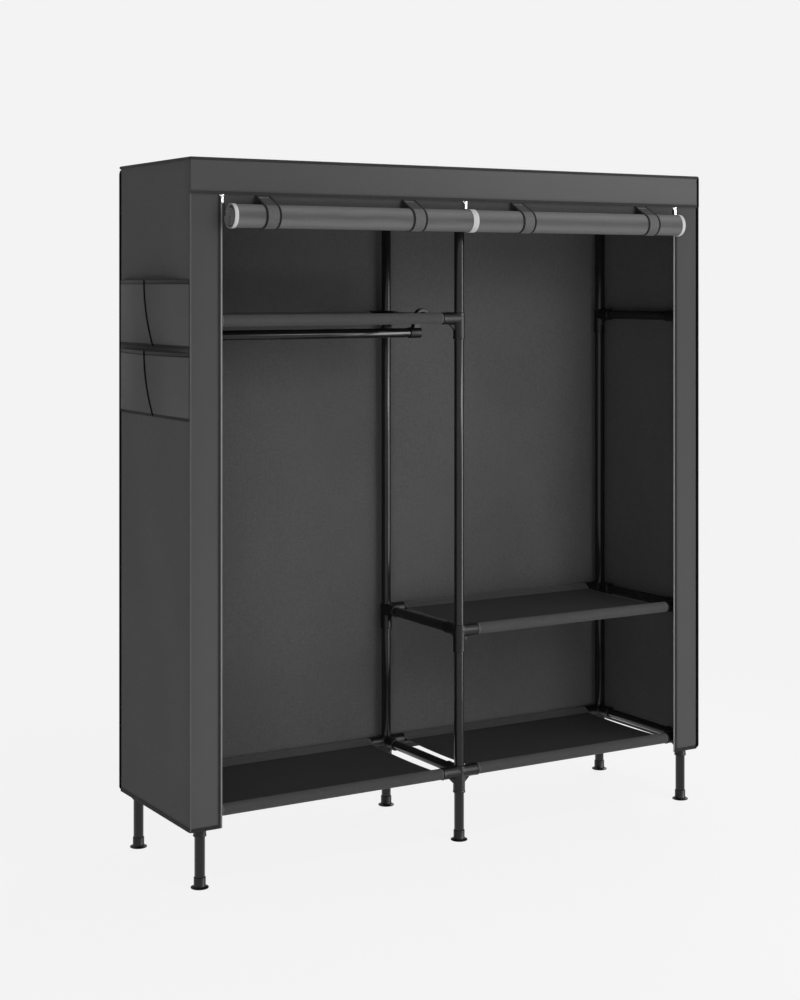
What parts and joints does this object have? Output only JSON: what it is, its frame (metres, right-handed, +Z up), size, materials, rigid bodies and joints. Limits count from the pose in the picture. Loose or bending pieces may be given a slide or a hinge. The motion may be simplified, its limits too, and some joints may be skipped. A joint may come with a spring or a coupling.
{
  "type": "portable fabric wardrobe",
  "caption": "Free-standing wardrobe: a tube frame with cloth shelves and a hanging rail, in a sewn cloth cover with roll-up doors, zips and side pockets.",
  "frame": {"origin": "on the floor, under the middle of the whole object's box", "axes": "+X to the right seen from the front, +Y to the back, +Z up; the doors face -Y"},
  "size_m": [1.7178, 0.5365, 1.9],
  "materials": {
    "post": "satin dark grey powder coat",
    "bar": "satin dark grey powder coat",
    "rail": "satin dark grey powder coat",
    "foot": "matte black, moulded",
    "hook": "matte black, moulded",
    "shelf": "dark grey non-woven cloth",
    "cover": "dark grey woven cloth",
    "pocket": "dark grey woven cloth",
    "door": "dark grey woven cloth",
    "strap": "dark grey woven cloth with bound edges",
    "zip_tape": "grey woven zip tape",
    "zip_metal": "bright plated metal"
  },
  "bodies": {
    "frame_and_cover": {"post_front_left": "post", "post_front_centre": "post", "post_front_right": "post", "post_rear_left": "post", "post_rear_centre": "post", "post_rear_right": "post", "foot_front_left": "foot", "foot_front_centre": "foot", "foot_front_right": "foot", "foot_rear_left": "foot", "foot_rear_centre": "foot", "foot_rear_right": "foot", "depth_bar_left_bottom": "bar", "depth_bar_left_middle": "bar", "depth_bar_left_upper": "bar", "depth_bar_left_top": "bar", "depth_bar_centre_bottom": "bar", "depth_bar_centre_middle": "bar", "depth_bar_centre_upper": "bar", "depth_bar_centre_top": "bar", "depth_bar_right_bottom": "bar", "depth_bar_right_middle": "bar", "depth_bar_right_upper": "bar", "depth_bar_right_top": "bar", "top_bar_front_left": "bar", "top_bar_front_right": "bar", "top_bar_rear_left": "bar", "top_bar_rear_right": "bar", "shelf_bottom_left": "shelf", "shelf_bottom_right": "shelf", "shelf_middle_right": "shelf", "shelf_upper_left": "shelf", "cover_top": "cover", "cover_back": "cover", "cover_left_side": "cover", "cover_right_side": "cover", "cover_left_stile": "cover", "cover_right_stile": "cover", "cover_header": "cover", "pocket_row_upper": "pocket", "pocket_row_lower": "pocket", "door_top_left": "door", "door_top_right": "door", "strap_left_inner": "strap", "strap_left_outer": "strap", "strap_right_inner": "strap", "strap_right_outer": "strap", "zip_tape_left": "zip_tape", "zip_tape_right": "zip_tape", "zip_slider_centre": "zip_metal"},
    "left_door": {"door_roll_left": "door"},
    "right_door": {"door_roll_right": "door"},
    "left_slider": {"zip_slider_left": "zip_metal"},
    "right_slider": {"zip_slider_right": "zip_metal"},
    "left_pull": {"zip_pull_left": "zip_metal"},
    "centre_pull": {"zip_pull_centre": "zip_metal"},
    "right_pull": {"zip_pull_right": "zip_metal"},
    "rail": {"hanging_rail": "rail", "rail_hook_left": "hook", "rail_hook_right": "hook"}
  },
  "joints": [
    {"name": "left_door_unroll", "type": "slide", "parent": "frame_and_cover", "child": "left_door", "axis": [0, 0, -1], "range_m": [0, 1.555], "deforming": ["door_top_left", "strap_left_inner", "strap_left_outer"]},
    {"name": "right_door_unroll", "type": "slide", "parent": "frame_and_cover", "child": "right_door", "axis": [0, 0, -1], "range_m": [0, 1.555], "deforming": ["door_top_right", "strap_right_inner", "strap_right_outer"]},
    {"name": "left_zip_slide", "type": "slide", "parent": "frame_and_cover", "child": "left_slider", "axis": [0, 0, -1], "range_m": [0, 1.62]},
    {"name": "right_zip_slide", "type": "slide", "parent": "frame_and_cover", "child": "right_slider", "axis": [0, 0, -1], "range_m": [0, 1.62]},
    {"name": "left_pull_swing", "type": "hinge", "parent": "left_slider", "child": "left_pull", "pos_m": [-0.7419, -0.20515, 1.8045], "axis": [-1, 0, 0], "range_deg": [0, 150]},
    {"name": "centre_pull_swing", "type": "hinge", "parent": "frame_and_cover", "child": "centre_pull", "pos_m": [0.0139, -0.20515, 1.8045], "axis": [-1, 0, 0], "range_deg": [0, 150]},
    {"name": "right_pull_swing", "type": "hinge", "parent": "right_slider", "child": "right_pull", "pos_m": [0.7697, -0.20515, 1.8045], "axis": [-1, 0, 0], "range_deg": [0, 150]},
    {"name": "rail_slide", "type": "slide", "parent": "frame_and_cover", "child": "rail", "axis": [0, 1, 0], "range_m": [-0.13, 0.13]}
  ]
}
